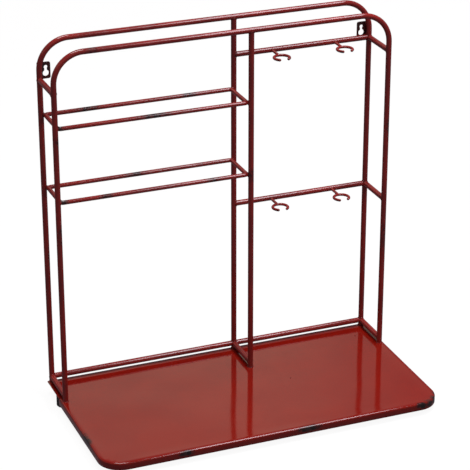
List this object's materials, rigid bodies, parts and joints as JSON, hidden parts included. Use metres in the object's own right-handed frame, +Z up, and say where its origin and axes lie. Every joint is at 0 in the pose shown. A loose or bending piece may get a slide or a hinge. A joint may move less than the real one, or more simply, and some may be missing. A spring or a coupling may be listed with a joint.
{
  "type": "wire storage rack",
  "caption": "Free-standing or wall-hung welded wire rack: two round-rod hoops on a sheet tray, wire shelves in one bay and open ring hooks in the other.",
  "frame": {"origin": "middle of the footprint, on the surface the rack stands on", "axes": "+Z up; the front, where the tray reaches out, is -Y; +X is to the right of someone facing the front"},
  "size_m": [0.575, 0.303, 0.6135],
  "materials": {
    "rod_enamel": "glossy dark red enamel with rubbed-through dark patches",
    "tray_enamel": "glossy red enamel, rubbed dark along the edges",
    "worn_plate": "satin, worn to dark primer",
    "foot_rubber": "matt"
  },
  "bodies": {
    "root": {"rear_hoop": "rod_enamel", "front_hoop": "rod_enamel", "rear_centre_upright": "rod_enamel", "front_centre_upright": "rod_enamel", "upper_side_bar_left": "rod_enamel", "upper_side_bar_right": "rod_enamel", "middle_side_bar_right": "rod_enamel", "upper_hook_rail": "rod_enamel", "middle_hook_rail": "rod_enamel", "base_rear_rail_left": "rod_enamel", "base_rear_rail_right": "rod_enamel", "base_side_bar_left": "rod_enamel", "base_side_bar_right": "rod_enamel", "base_centre_bar": "rod_enamel", "upper_shelf": "rod_enamel", "lower_shelf": "rod_enamel", "upper_left_hook_stem": "rod_enamel", "upper_left_hook_ring": "rod_enamel", "upper_right_hook_stem": "rod_enamel", "upper_right_hook_ring": "rod_enamel", "lower_left_hook_stem": "rod_enamel", "lower_left_hook_ring": "rod_enamel", "lower_right_hook_stem": "rod_enamel", "lower_right_hook_ring": "rod_enamel", "keyhole_plate_left": "worn_plate", "keyhole_plate_right": "worn_plate", "base_tray": "tray_enamel", "rear_left_foot": "foot_rubber", "rear_right_foot": "foot_rubber", "front_left_foot": "foot_rubber", "front_right_foot": "foot_rubber"}
  },
  "joints": []
}
